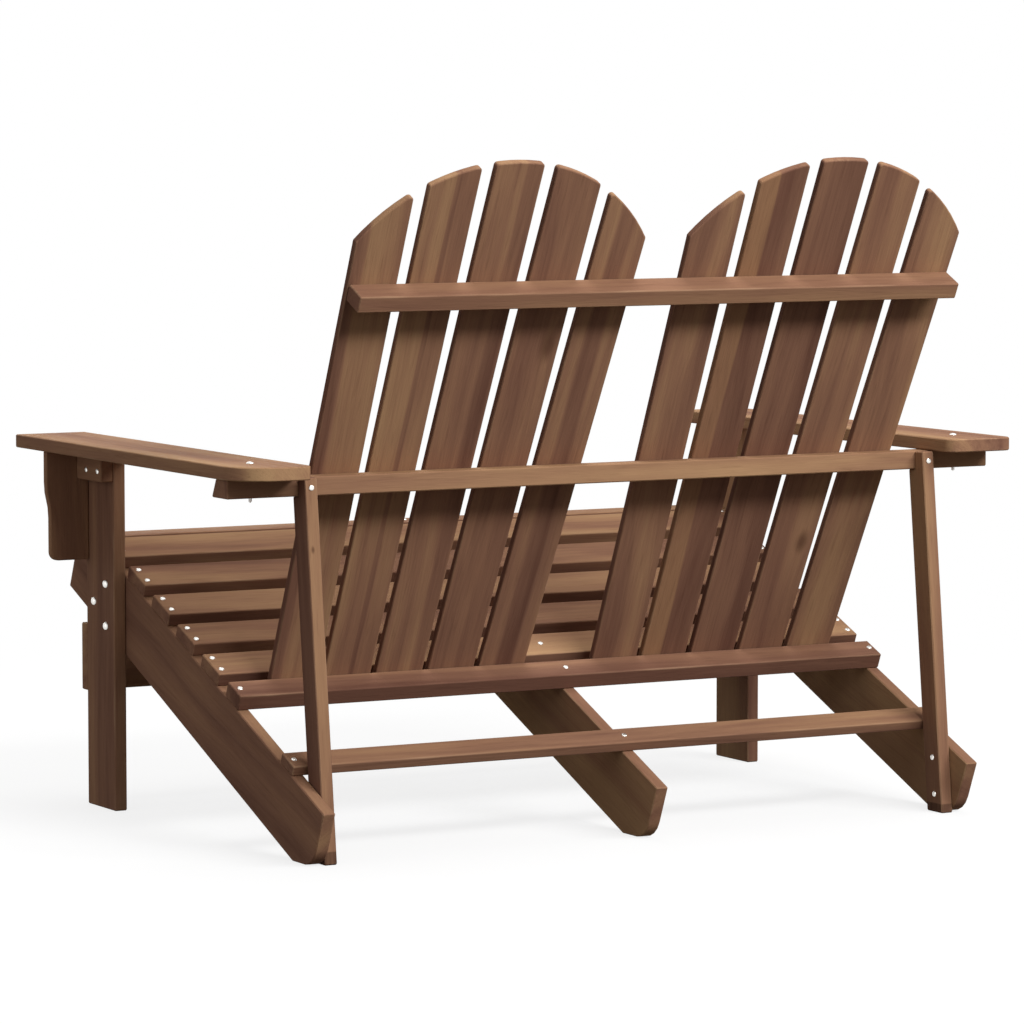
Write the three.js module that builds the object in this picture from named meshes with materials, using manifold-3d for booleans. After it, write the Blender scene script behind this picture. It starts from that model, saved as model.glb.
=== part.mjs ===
// Adirondack loveseat: a garden seat for two, screwed and bolted together from
// flat boards of oiled hardwood. Three sloping stringers carry the seat slats and
// run down to the ground behind. Two legs and two leaning posts hold up the
// armrests and the rail between them, and two fans of five slats lean on it.
//
// Millimetres, +Z up, the front facing -Y. The origin is on the ground, in the
// middle of the seat's footprint. Left and right are the sitter's, so left is +X.
// While the seat is put together, Y is counted from the front edges of the legs.

import * as THREE from 'three';
import { mergeVertices } from 'three/addons/utils/BufferGeometryUtils.js';
import Module from 'manifold-3d';

const wasm = await Module();
wasm.setup();

// Stock
const boardThickness = 19;
const thinBoardThickness = 11;
const easedEdge = 1.5;
const seam = 0.3;
const arcStep = THREE.MathUtils.degToRad( 20 );

// Stringers: the knee is where the sloping top edge meets the level front end
const seatSlope = THREE.MathUtils.degToRad( 22.8 );
const stringerWidth = 106;
const stringerNose = 96;
const kneeSetback = 24;
const footLength = 63;
const heelRadius = 38;

// Seat slats
const seatWidth = 1050;
const seatFrontHeight = 388;
const frontSlatSetback = 5;
const seatSlatWidth = 60;
const seatSlatGap = 28.1;
const seatSlatCount = 5;
const firstSlatOverhang = 8;

// Rails that lie on the stringers
const slatToBackGap = 16.4;
const rearRailWidth = 42.5;
const rearRailThickness = 23;
const stretcherWidth = 39.5;
const stretcherThickness = 15;
const stretcherPostGap = 1;

// Legs and apron
const legWidth = 95;
const apronHeight = 98;

// Armrests, with the bracket and cleat under the front of each
const armHeight = 536.5;
const armWidth = 110;
const armInnerOverhang = 16;
const armFrontOverhang = 82.5;
const armRearOverhang = 59;
const armWideCornerRadius = 60;
const armCornerRadius = 18;
const underArmInset = 7.5;
const bracketHeight = 159;
const bracketStraight = 45;
const bracketCurve = 52;
const bracketStep = 6.5;
const bracketCornerRadius = 12;
const cleatHeight = 41;

// The rail under the rear of the armrests, and the posts that carry it
const armRailThickness = 26;
const armRailTopWidth = 35;
const postWidth = 38.5;
const postNotch = 16;
const postHeelInset = 2;

// Back
const backTilt = THREE.MathUtils.degToRad( 26.3 );
const backHeight = 799.5;
const backSlatCount = 5;
const fanGap = 111.2;
const backSlatFootGap = 8.3;
const backSlatTopGap = 20.4;
const backSideInset = 66.2;
const crownDrop = 116.7;
const crownCornerRadius = 5;
const crownSteps = 4;
const upperRailDrop = 178.5;
const upperRailWidth = 37;
const upperRailThickness = 24;
const upperRailEndInset = 2;

// Fasteners: a domed head on a shank that ends in a short point
const bolt = { headRadius: 6, headHeight: 4.3, shankRadius: 3, point: 2 };
const flatBolt = { headRadius: 5, headHeight: 2.5, shankRadius: 3, point: 2 };
const screw = { headRadius: 4, headHeight: 1.8, shankRadius: 2, point: 3 };
const holeClearance = 0.3;
const fastenerSides = 12;
const domeSteps = 3;
const bite = 15;
const armBoltInset = 52;
const armBoltTip = 8;
const legBoltInset = 27;
const legBoltSpacing = 61;
const legBoltRise = 4;
const frontLegBoltRise = 6;
const postScrewGround = 26;
const postScrewDepth = 19;
const postScrewInset = 16.5;
const cleatScrewDrop = 25.7;
const cleatScrewInset = 10.5;
const cleatScrewSpacing = 39.5;
const apronScrewSpacing = 50;

// Levels and depths that follow from those sizes
const cosSlope = Math.cos( seatSlope );
const sinSlope = Math.sin( seatSlope );
const tanSlope = Math.tan( seatSlope );
const knee = { y: kneeSetback, z: seatFrontHeight - boardThickness - seam };
const sideX = seatWidth / 2;
const legInnerX = sideX + seam;
const legOuterX = legInnerX + boardThickness;
const armInnerX = sideX - armInnerOverhang;
const armOuterX = armInnerX + armWidth;
const armUnderside = armHeight - boardThickness;
const underArmTop = armUnderside - seam;
const underArmX = armOuterX - underArmInset;

// The foot of a stringer, from where its lower edge meets the ground to its heel
const footY = knee.y + ( knee.z - stringerWidth / cosSlope ) / tanSlope;
const heelY = footY + footLength;
const tail = ( heelY - knee.y ) * cosSlope + knee.z * sinSlope;

// Tones of the wood and of the plated steel
const tones = { golden: 0x9a7450, brown: 0x8a6048, red: 0x7e5240, dark: 0x6b4a3a };
const steelTone = 0xd9d6cf;

const chair = new THREE.Group();

// A point given by its distances along the seat's slope from the knee and square to it
function onSlope( along, above ) {

	return [
		knee.y + along * cosSlope + above * sinSlope,
		knee.z - along * sinSlope + above * cosSlope,
	];

}

// The height at depth y of the line that runs parallel to the slope, so far above it
function slopeHeight( y, above ) {

	return knee.z - ( y - knee.y ) * tanSlope + above / cosSlope;

}

// Rounds the corners of a polygon. A corner is [ x, y, radius ]: with no radius it
// gets the stock's eased edge, one small facet, and with a radius of zero it stays.
function roundedOutline( corners ) {

	const points = [];

	corners.forEach( ( [ x, y, radius = easedEdge ], i ) => {

		const corner = new THREE.Vector2( x, y );
		if ( radius === 0 ) {

			points.push( corner );
			return;

		}

		const toNeighbour = ( [ nx, ny ] ) => new THREE.Vector2( nx, ny ).sub( corner ).normalize();
		const back = toNeighbour( corners.at( i - 1 ) );
		const onward = toNeighbour( corners[ ( i + 1 ) % corners.length ] );
		const halfAngle = Math.acos( back.dot( onward ) ) / 2;
		const start = corner.clone().addScaledVector( back, radius / Math.tan( halfAngle ) );
		const centre = back.clone().add( onward ).setLength( radius / Math.sin( halfAngle ) ).add( corner );
		const sweep = ( Math.PI - 2 * halfAngle ) * Math.sign( onward.cross( back ) );
		const steps = radius > easedEdge ? Math.ceil( Math.abs( sweep ) / arcStep ) : 1;

		for ( let step = 0; step <= steps; step ++ ) {

			points.push( start.clone().rotateAround( centre, sweep * step / steps ) );

		}

	} );

	return points;

}

function rectangle( x0, y0, x1, y1 ) {

	return [ [ x0, y0 ], [ x1, y0 ], [ x1, y1 ], [ x0, y1 ] ];

}

// A board with eased edges: its outline lies in the XY plane and its depth runs up Z
function boardGeometry( corners, depth ) {

	const shape = new THREE.Shape( roundedOutline( corners ) );
	const geometry = new THREE.ExtrudeGeometry( shape, {
		depth: depth - 2 * easedEdge,
		bevelThickness: easedEdge,
		bevelSize: easedEdge,
		bevelOffset: - easedEdge,
		bevelSegments: 1,
	} );

	return geometry.translate( 0, 0, easedEdge );

}

// The same board with its outline in the YZ plane, centred on X
function boardAcross( corners, depth ) {

	const board = boardGeometry( corners, depth ).translate( 0, 0, - depth / 2 );

	return board.rotateX( Math.PI / 2 ).rotateZ( Math.PI / 2 );

}

// The same board with its outline in the XZ plane and its rear face at Y zero
function boardUpright( corners, depth ) {

	return boardGeometry( corners, depth ).rotateX( Math.PI / 2 );

}

function addBoard( group, name, geometry, tone ) {

	const material = new THREE.MeshStandardMaterial( { color: tones[ tone ], roughness: 0.6, metalness: 0 } );
	const board = new THREE.Mesh( geometry, material );
	board.name = name;
	group.add( board );
	return board;

}

// A bolt or screw whose head rests on the point "at" and whose shank runs along "into"
function addFastener( name, kind, at, into, length ) {

	const profile = [
		new THREE.Vector2( 0, - length ),
		new THREE.Vector2( kind.shankRadius, kind.point - length ),
		new THREE.Vector2( kind.shankRadius, 0 ),
	];

	for ( let step = 0; step <= domeSteps; step ++ ) {

		const turn = step / domeSteps * Math.PI / 2;
		const radius = step < domeSteps ? kind.headRadius * Math.cos( turn ) : 0;
		profile.push( new THREE.Vector2( radius, kind.headHeight * Math.sin( turn ) ) );

	}

	const material = new THREE.MeshStandardMaterial( { color: steelTone, roughness: 0.35, metalness: 0.9 } );
	const fastener = new THREE.Mesh( new THREE.LatheGeometry( profile, fastenerSides ), material );
	fastener.name = name;
	fastener.position.copy( at ).addScaledVector( into, - seam );
	fastener.quaternion.setFromUnitVectors( new THREE.Vector3( 0, - 1, 0 ), into );
	fastener.userData = { kind, length };
	chair.add( fastener );
	return fastener;

}

function toManifold( geometry ) {

	const bare = new THREE.BufferGeometry();
	bare.setAttribute( 'position', geometry.getAttribute( 'position' ) );
	bare.setIndex( geometry.getIndex() );
	const merged = mergeVertices( bare );

	return new wasm.Manifold( new wasm.Mesh( {
		numProp: 3,
		vertProperties: new Float32Array( merged.getAttribute( 'position' ).array ),
		triVerts: new Uint32Array( merged.getIndex().array ),
	} ) );

}

// Drills a board for the shanks of its fasteners, with a little clearance all round
function drill( board, fasteners ) {

	board.updateWorldMatrix( true, false );
	let solid = toManifold( board.geometry );

	for ( const fastener of fasteners ) {

		const { kind, length } = fastener.userData;
		const depth = length + holeClearance + kind.headHeight;
		const cutter = new THREE.CylinderGeometry(
			kind.shankRadius + holeClearance, kind.shankRadius + holeClearance, depth, fastenerSides
		);
		cutter.translate( 0, kind.headHeight - depth / 2, 0 );
		fastener.updateWorldMatrix( true, false );
		cutter.applyMatrix4( fastener.matrixWorld );
		cutter.applyMatrix4( board.matrixWorld.clone().invert() );
		solid = solid.subtract( toManifold( cutter ) );

	}

	const mesh = solid.getMesh();
	const geometry = new THREE.BufferGeometry();
	geometry.setAttribute( 'position', new THREE.BufferAttribute( mesh.vertProperties, 3 ) );
	geometry.setIndex( new THREE.BufferAttribute( mesh.triVerts, 1 ) );
	board.geometry = geometry.toNonIndexed();
	board.geometry.computeVertexNormals();

}

// A stringer has a square nose and tail, a level top before the knee and a foot cut
// flat for the ground, with a rounded heel
function stringerOutline() {

	return [
		onSlope( - stringerNose, - stringerWidth ),
		[ footY, 0, 0 ],
		[ heelY, 0, heelRadius ],
		onSlope( tail, 0 ),
		[ knee.y, knee.z, 0 ],
		onSlope( - stringerNose, - stringerNose * tanSlope ),
	];

}

function addStringer( name, x, tone ) {

	const stringer = addBoard( chair, name, boardAcross( stringerOutline(), boardThickness ), tone );
	stringer.position.x = x;
	return stringer;

}

const stringerX = sideX - boardThickness / 2;
const stringers = {
	left: addStringer( 'stringer_left', stringerX, 'brown' ),
	right: addStringer( 'stringer_right', - stringerX, 'dark' ),
};
addStringer( 'stringer_centre', 0, 'red' );

// The seat frame lies on the stringers: its origin is at the knee and +Y runs down the slope
const seat = new THREE.Group();
seat.position.set( 0, knee.y, knee.z );
seat.rotation.x = - seatSlope;
chair.add( seat );

// Lays a board of the seat's full width on the stringers, its front edge so far along
function layOnStringers( name, along, width, thickness, tone ) {

	const section = rectangle( 0, 0, width, thickness );
	const board = addBoard( seat, name, boardAcross( section, seatWidth ), tone );
	board.position.set( 0, along, seam );

}

const seatSlatTones = [ 'golden', 'brown', 'golden', 'red', 'brown' ];
const seatSlatPitch = seatSlatWidth + seatSlatGap;
for ( let i = 0; i < seatSlatCount; i ++ ) {

	const along = i * seatSlatPitch - firstSlatOverhang;
	layOnStringers( `seat_slat_${ i + 1 }`, along, seatSlatWidth, boardThickness, seatSlatTones[ i ] );

}

// The front slat lies level on the stringers' noses
const noseY = onSlope( - stringerNose, - stringerNose * tanSlope )[ 0 ];
const frontSlat = addBoard(
	chair, 'seat_slat_front',
	boardAcross( rectangle( 0, 0, seatSlatWidth, boardThickness ), seatWidth ), 'golden'
);
frontSlat.position.set( 0, noseY + frontSlatSetback, knee.z + seam );

// The rear rail holds the lower ends of the back slats
const lastSlatEnd = ( seatSlatCount - 1 ) * seatSlatPitch - firstSlatOverhang + seatSlatWidth;
const rearRail = lastSlatEnd + slatToBackGap + thinBoardThickness;
layOnStringers( 'rear_seat_rail', rearRail, rearRailWidth, rearRailThickness, 'red' );

// The back frame stands on the rear rail's front top edge: +Z runs up the slats and
// their rear faces are at Y zero
const [ backY, backZ ] = onSlope( rearRail, rearRailThickness + seam );
const back = new THREE.Group();
back.position.set( 0, backY - seam, backZ );
back.rotation.x = - backTilt;
chair.add( back );

// The slats of a fan share what the side inset, the gap between the fans and the gaps at
// their feet leave of half the seat's width
const fanFootWidth = sideX - backSideInset - fanGap / 2;
const backSlatWidth = ( fanFootWidth + backSlatFootGap ) / backSlatCount - backSlatFootGap;
const backSlatPitch = backSlatWidth + backSlatFootGap;
const fanStep = Math.atan( ( backSlatTopGap - backSlatFootGap ) / backHeight );
const fanMiddle = ( backSlatCount - 1 ) / 2;
const fanX = sideX - backSideInset - fanFootWidth / 2;

// Half the width of a fan of slats at a height on the back
function fanReach( height ) {

	return fanMiddle * ( backSlatPitch + height * Math.tan( fanStep ) ) + backSlatWidth / 2;

}

// The tops of a fan lie on one arc, which falls by the crown's drop at its outer edges
const crownReach = fanReach( backHeight - crownDrop );
const crownRadius = ( crownReach ** 2 + crownDrop ** 2 ) / ( 2 * crownDrop );

// One slat stands straight, then turns about its foot: the arc's centre is turned back
function backSlatOutline( place ) {

	const centre = new THREE.Vector2( - place * backSlatPitch, backHeight - crownRadius );
	centre.rotateAround( new THREE.Vector2(), place * fanStep );
	const halfWidth = backSlatWidth / 2;
	const crownAt = ( x ) => centre.y + Math.sqrt( crownRadius ** 2 - ( x - centre.x ) ** 2 );
	const corners = [
		[ - halfWidth, - rearRailThickness ],
		[ halfWidth, - rearRailThickness ],
		[ halfWidth, crownAt( halfWidth ), crownCornerRadius ],
	];

	for ( let step = 0; step <= crownSteps; step ++ ) {

		const x = ( 1 - 2 * step / crownSteps ) * ( halfWidth - 2 * crownCornerRadius );
		corners.push( [ x, crownAt( x ), 0 ] );

	}

	corners.push( [ - halfWidth, crownAt( - halfWidth ), crownCornerRadius ] );
	return corners;

}

const backSlatTones = [ 'brown', 'golden', 'red', 'brown', 'dark' ];

function addFan( side, sign ) {

	for ( let i = 0; i < backSlatCount; i ++ ) {

		const place = i - fanMiddle;
		const geometry = boardUpright( backSlatOutline( place ), thinBoardThickness );
		const slat = addBoard( back, `back_slat_${ side }_${ i + 1 }`, geometry, backSlatTones[ i ] );
		slat.position.x = sign * fanX + place * backSlatPitch;
		slat.rotation.y = place * fanStep;

	}

}

// The upper rail stands square to the back, behind both fans
const upperRailTop = backHeight - upperRailDrop;
const upperRailReach = fanX + fanReach( upperRailTop ) - upperRailEndInset;
const upperRailSection = rectangle(
	seam, upperRailTop - upperRailThickness, seam + upperRailWidth, upperRailTop
);
addBoard( back, 'upper_back_rail', boardAcross( upperRailSection, 2 * upperRailReach ), 'brown' );

// The arm rail's front edge follows the back, so its section is not square
const armRailBottom = underArmTop - armRailThickness;
const backRearY = back.position.y + seam / Math.cos( backTilt );
const behindBack = ( z ) => backRearY + ( z - backZ ) * Math.tan( backTilt );
const armRailRear = behindBack( underArmTop ) + armRailTopWidth;
const armRailFront = behindBack( underArmTop - armRailThickness / 2 );
const armRailMiddleY = ( armRailFront + armRailRear ) / 2;
const armRailMiddleZ = underArmTop - armRailThickness / 2;
const armRail = addBoard( chair, 'arm_rail', boardAcross( [
	[ behindBack( armRailBottom ), armRailBottom ],
	[ armRailRear, armRailBottom ],
	[ armRailRear, underArmTop ],
	[ behindBack( underArmTop ), underArmTop ],
], 2 * underArmX ), 'golden' );

// The posts lean forward from the stringers' heels. Each is notched under the arm
// rail, and the tongue that is left laps up its rear face.
const postFootY = heelY - postHeelInset - postWidth;
const shoulderZ = armRailBottom - seam;
const tongueY = armRailRear + seam;
const shoulderY = tongueY - postNotch;
const postLean = ( postFootY - shoulderY ) / shoulderZ;
const postFrontY = ( z ) => postFootY - z * postLean;
const postInto = new THREE.Vector3( 0, - 1, - postLean ).normalize();
const postX = sideX - boardThickness - seam - boardThickness / 2;

function postOutline() {

	return [
		[ postFootY, 0 ],
		[ postFootY + postWidth, 0 ],
		[ postFrontY( underArmTop ) + postWidth, underArmTop ],
		[ tongueY, underArmTop ],
		[ tongueY, shoulderZ, 0 ],
		[ shoulderY, shoulderZ ],
	];

}

// The stretcher lies on the stringers in front of the posts. Its rear top edge is
// the corner that comes nearest to them.
const cornerAbove = seam + stretcherThickness;
const cornerRoom = postFrontY( knee.z + cornerAbove * cosSlope ) - knee.y - cornerAbove * sinSlope;
const stretcherRear = ( cornerRoom - stretcherPostGap ) / ( cosSlope - postLean * sinSlope );
layOnStringers(
	'rear_stretcher', stretcherRear - stretcherWidth, stretcherWidth, stretcherThickness, 'golden'
);

// The apron crosses the front edges of the legs, close under the stringers
const apronTop = slopeHeight( - seam, - stringerWidth ) - seam;
const apronSection = rectangle( - seam - boardThickness, apronTop - apronHeight, - seam, apronTop );
const apron = addBoard( chair, 'front_apron', boardAcross( apronSection, 2 * legOuterX ), 'brown' );

// The armrest is rounded at its rear corners. The left one's outer corner is rounded wide.
function armOutline( sign ) {

	const armRear = armRailRear + armRearOverhang;

	return [
		[ sign * armInnerX, - armFrontOverhang ],
		[ sign * armOuterX, - armFrontOverhang ],
		[ sign * armOuterX, armRear, sign > 0 ? armWideCornerRadius : armCornerRadius ],
		[ sign * armInnerX, armRear, armCornerRadius ],
	];

}

// The bracket stands square to the leg, flush with its front edge. Its outer edge
// drops straight, steps in with an easy curve and ends in a rounded corner.
function bracketOutline( sign ) {

	const innerX = legOuterX + seam;
	const footX = underArmX - bracketStep;
	const curveTop = underArmTop - bracketStraight;
	const curveFoot = curveTop - bracketCurve;
	const curve = new THREE.CubicBezierCurve(
		new THREE.Vector2( underArmX, curveTop ),
		new THREE.Vector2( underArmX, curveTop - bracketCurve / 2 ),
		new THREE.Vector2( footX, curveFoot + bracketCurve / 2 ),
		new THREE.Vector2( footX, curveFoot )
	);
	const bottom = underArmTop - bracketHeight;

	return [
		[ sign * innerX, bottom ],
		[ sign * innerX, underArmTop ],
		[ sign * underArmX, underArmTop ],
		...curve.getPoints( crownSteps ).map( ( { x, y } ) => [ sign * x, y, 0 ] ),
		[ sign * footX, bottom, bracketCornerRadius ],
	];

}

// Bolts and screws of one side of the seat, and the holes that they run in
function addSideFasteners( side, sign, boards ) {

	const outward = new THREE.Vector3( sign, 0, 0 );
	const inward = outward.clone().negate();
	const down = new THREE.Vector3( 0, 0, - 1 );
	const rearward = new THREE.Vector3( 0, 1, 0 );
	const at = ( x, y, z ) => new THREE.Vector3( sign * x, y, z );
	const joint = boardThickness + seam + bite;

	const armBolt = addFastener(
		`arm_bolt_${ side }`, flatBolt, at( armOuterX - armBoltInset, armRailMiddleY, armHeight ), down,
		boardThickness + seam + armRailThickness + armBoltTip
	);

	// Three bolts join the leg to the stringer, two near its rear edge and one in front
	const boltRearY = legWidth - legBoltInset;
	const boltZ = slopeHeight( boltRearY, - stringerWidth / 2 );
	const legBolts = [
		[ boltRearY, boltZ + legBoltRise + legBoltSpacing / 2 ],
		[ legBoltInset, boltZ + frontLegBoltRise ],
		[ boltRearY, boltZ + legBoltRise - legBoltSpacing / 2 ],
	].map( ( [ y, z ], i ) => addFastener(
		`leg_bolt_${ side }_${ i + 1 }`, bolt, at( legOuterX, y, z ), inward, joint
	) );

	// Two screws join the post to the tail of the stringer, from the inner side
	const tailTop = slopeHeight( heelY - postHeelInset - postWidth / 2, 0 );
	const postInnerX = postX - boardThickness / 2;
	const postScrewY = ( z ) => postFrontY( z ) + postWidth - postScrewInset;
	const postScrews = [ postScrewGround, tailTop - postScrewDepth ].map( ( z, i ) => addFastener(
		`post_screw_${ side }_${ i + 1 }`, screw, at( postInnerX, postScrewY( z ), z ), outward, joint
	) );

	// One screw goes through the post's tongue into the arm rail
	const topScrewY = postFrontY( armRailMiddleZ ) + postWidth;
	const topScrew = addFastener(
		`post_top_screw_${ side }`, screw, at( postX, topScrewY, armRailMiddleZ ), postInto,
		topScrewY - armRailRear + bite
	);

	// Two screws hold the cleat on the leg
	const cleatOuterX = legOuterX + seam + boardThickness;
	const cleatScrewZ = underArmTop - cleatScrewDrop;
	const cleatScrewInsets = [ cleatScrewInset + cleatScrewSpacing, cleatScrewInset ];
	const cleatScrews = cleatScrewInsets.map( ( inset, i ) => addFastener(
		`cleat_screw_${ side }_${ i + 1 }`, screw,
		at( cleatOuterX, legWidth - inset, cleatScrewZ ), inward, joint
	) );

	// Two screws go through the apron into the leg's front edge
	const apronMiddle = apronTop - apronHeight / 2;
	const legMiddleX = legInnerX + boardThickness / 2;
	const apronScrews = [ 1, - 1 ].map( ( up, i ) => addFastener(
		`apron_screw_${ side }_${ i + 1 }`, screw,
		at( legMiddleX, - seam - boardThickness, apronMiddle + up * apronScrewSpacing / 2 ), rearward, joint
	) );

	drill( boards.arm, [ armBolt ] );
	drill( boards.leg, [ ...legBolts, ...cleatScrews, ...apronScrews ] );
	drill( boards.cleat, cleatScrews );
	drill( boards.post, [ ...postScrews, topScrew ] );
	drill( boards.stringer, [ ...legBolts, ...postScrews ] );
	drill( armRail, [ armBolt, topScrew ] );
	drill( apron, apronScrews );

}

for ( const [ side, sign ] of [ [ 'left', 1 ], [ 'right', - 1 ] ] ) {

	addFan( side, sign );

	const legOutline = rectangle( 0, 0, legWidth, underArmTop );
	const leg = addBoard( chair, `front_leg_${ side }`, boardAcross( legOutline, boardThickness ), 'dark' );
	leg.position.x = sign * ( legInnerX + legOuterX ) / 2;

	const postGeometry = boardAcross( postOutline(), boardThickness );
	const post = addBoard( chair, `rear_post_${ side }`, postGeometry, 'red' );
	post.position.x = sign * postX;

	const armGeometry = boardGeometry( armOutline( sign ), boardThickness );
	const arm = addBoard( chair, `armrest_${ side }`, armGeometry, 'golden' );
	arm.position.z = armUnderside;

	const bracketGeometry = boardUpright( bracketOutline( sign ), thinBoardThickness );
	const bracket = addBoard( chair, `arm_bracket_${ side }`, bracketGeometry, 'dark' );
	bracket.position.y = thinBoardThickness;

	const cleatFront = thinBoardThickness + seam;
	const cleatOutline = rectangle( cleatFront, underArmTop - cleatHeight, legWidth, underArmTop );
	const cleatGeometry = boardAcross( cleatOutline, boardThickness );
	const cleat = addBoard( chair, `arm_cleat_${ side }`, cleatGeometry, 'dark' );
	cleat.position.x = sign * ( legOuterX + seam + boardThickness / 2 );

	addSideFasteners( side, sign, { arm, leg, post, cleat, stringer: stringers[ side ] } );

}

// Everything moves so that the origin is in the middle of the footprint
const footprint = new THREE.Box3().setFromObject( chair, true );
chair.position.y = - ( footprint.min.y + footprint.max.y ) / 2;

export default chair;
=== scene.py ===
"""Adirondack loveseat of oiled hardwood, seen from behind and to its left.

The boards are the CAD's own. Here they get eased edges, grain, wear that also paints a highlight
along the edges, and their screws. Painted light and shade fall on their side faces and ends.
Metres, +Z up, the front facing -Y. Left and right are the sitter's, so left is +X.
"""

import math

import bmesh
import bpy
from mathutils import Matrix, Vector


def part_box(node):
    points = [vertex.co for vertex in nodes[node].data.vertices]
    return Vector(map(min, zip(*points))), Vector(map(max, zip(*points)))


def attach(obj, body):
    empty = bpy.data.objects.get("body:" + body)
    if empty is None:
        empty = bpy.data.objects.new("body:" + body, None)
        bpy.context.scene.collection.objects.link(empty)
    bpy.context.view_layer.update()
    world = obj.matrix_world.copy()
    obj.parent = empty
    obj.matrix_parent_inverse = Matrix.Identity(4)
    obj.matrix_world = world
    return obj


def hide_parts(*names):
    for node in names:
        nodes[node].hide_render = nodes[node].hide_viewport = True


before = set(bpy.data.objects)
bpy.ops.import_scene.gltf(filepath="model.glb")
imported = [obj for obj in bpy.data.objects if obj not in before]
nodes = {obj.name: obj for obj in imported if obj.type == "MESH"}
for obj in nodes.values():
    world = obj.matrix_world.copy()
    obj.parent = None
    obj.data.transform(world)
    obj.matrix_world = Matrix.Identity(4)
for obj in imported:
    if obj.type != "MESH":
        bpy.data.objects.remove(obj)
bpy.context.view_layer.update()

# The camera, fitted to the photo: its place is counted from the left leg's front edge
CAMERA_X = 3.4555
CAMERA_BEHIND_LEG = 6.5414
CAMERA_Z = 1.0402
CAMERA_AZIMUTH = math.radians(151.06)
CAMERA_ELEVATION = math.radians(4.922)
LENS_MM = 173.53
SENSOR_MM = 36.0

# Lamps: the key is a wide bank behind the seat, one lamp hangs over it, one stands on its
# left and the last is in front
LIGHT_AIM = Vector((0.0, 0.0, 0.4))
LAMPS = {
    "key": dict(place=Vector((-1.4, 3.9, 3.15)), size=(4.2, 0.8), watts=245.0),
    "overhead": dict(place=Vector((-0.5, -0.3, 4.3)), size=(2.4, 2.4), watts=75.0),
    "left": dict(place=Vector((4.6, 0.6, 1.0)), size=(2.4, 2.4), watts=22.0),
    "front": dict(place=Vector((-0.6, -4.6, 1.4)), size=(2.6, 2.6), watts=50.0),
}
SKY_STRENGTH = 0.33

# The floor: half its size, the light that it throws back, and how strong and how wide the shadow
# on it may be
FLOOR_HALF = 30.0
FLOOR_BOUNCE = "#5C5852"
FLOOR_SHADOW_SHARE = 0.2
FLOOR_SHADOW_REACH = 2.4
WHITE = (1, 1, 1, 1)

# Colours of the wood: its bands from light to dark, their places on the scale of tones, and what
# is mixed into them
WOOD_BANDS = ("#AE8A66", "#9F7A5C", "#8F6A53", "#7F5C4A", "#68483B")
BAND_STOPS = (0.0, 0.28, 0.5, 0.72, 1.0)
SAP_COLOUR = "#A27B5A"
ROSY_COLOUR = "#7E5748"
LINE_COLOUR = "#45291F"
# Pale colour of worn edges, also a painted highlight along them
WORN_AND_HIGHLIGHT_COLOUR = "#BC9A7A"
# A darker band at the feet of the rear posts
FOOT_BAND_COLOUR = "#3A2620"

# Noises of the wood, each with its waves per metre along and across the grain, an offset of its
# own, its detail and its roughness. The middle of their range is stretched to all of it, and a
# board's seed shifts them
WOOD_NOISES = {
    "wander": (1.5, 4.0, 3.1, 1.0, 0.5),
    "waver": (8.0, 24.0, 9.4, 2.0, 0.5),
    "patch": (3.0, 26.0, 2.2, 2.0, 0.5),
    "streak": (5.5, 110.0, 7.1, 2.0, 0.5),
    "fibre": (26.0, 620.0, 6.6, 2.0, 0.6),
    "fleck": (14.0, 210.0, 4.4, 3.0, 0.6),
    "rosy": (1.7, 14.0, 11.9, 2.0, 0.5),
    "wear_and_highlight": (9.0, 30.0, 7.7, 2.0, 0.5),
}
NOISE_LOW = 0.3
NOISE_HIGH = 0.7
SEED_SHIFT = 3.7

# Growth rings, each kind with its rings per metre, an offset of its own and its detail, and how
# far each kind of band moves the tone
WOOD_RINGS = {
    "wide": (24.0, 1.3, 1.0),
    "middle": (80.0, 5.9, 2.0),
    "narrow": (310.0, 8.1, 2.0),
}
BAND_REACHES = {"wide": 0.9, "patch": 0.8, "streak": 0.25, "middle": 0.4, "narrow": 0.03}

# The pith, round which the rings lie: how far below a board it runs, how far a board's seed moves
# it from there, by turns of its own, and how far the rings stray along the board
PITH_DEPTH = 0.075
PITH_DEPTH_SWAY = 0.035
PITH_SIDE_SWAY = 0.11
PITH_DEPTH_TURNS = 7.3
PITH_SIDE_TURNS = 12.9
RING_WANDER = 0.075
RING_WAVER = 0.006

# Knots: how much narrower than long they are, how far they push the rings aside, how dark they
# are, and the distances in knot sizes between which they darken
KNOT_NARROWING = 0.5
KNOT_PUSH = 1.2
KNOT_DARKNESS = 0.6
KNOT_RIM = 1.5
KNOT_HEART = 0.2

# A stripe of another tone: where its soft sides end and begin, in halves of its width, and how
# far it follows the stray of the rings
STRIPE_RIM = 1.3
STRIPE_CORE = 0.6
STRIPE_WANDER = 0.25

# Sapwood: how far its line follows the rings, how soft that line is, how much of its colour shows
# and how much of the bands shows in it
SAP_WANDER = 0.2
SAP_BLUR = 0.002
SAP_SHARE = 0.7
SAP_BANDS = 0.4

# Late wood lines, pores, fibres and the darker band at the posts' feet: from where in their noises
# they show, and how strongly
LINE_START = 0.62
LINE_SHARE = 0.08
PORE_START = 0.7
PORE_END = 0.95
PORE_SHARE = 0.13
FIBRE_LOW = 0.35
FIBRE_HIGH = 0.65
FIBRE_SHADE = 0.09
FIBRE_DARKEST = 0.955
FOOT_BAND_SHARE = 0.45
FOOT_BAND_FLECKS = 0.3

# Wear along the edges, which also paints a highlight there: how wide it is, how ragged, on what
# part of the edges and how pale
WEAR_REACH = 0.0042
WEAR_CORE = 0.0008
WEAR_RAGGED = 0.0022
WEAR_PATCH_LOW = 0.4
WEAR_PATCH_HIGH = 0.62
WEAR_AND_HIGHLIGHT_SHARE = 0.35

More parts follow.
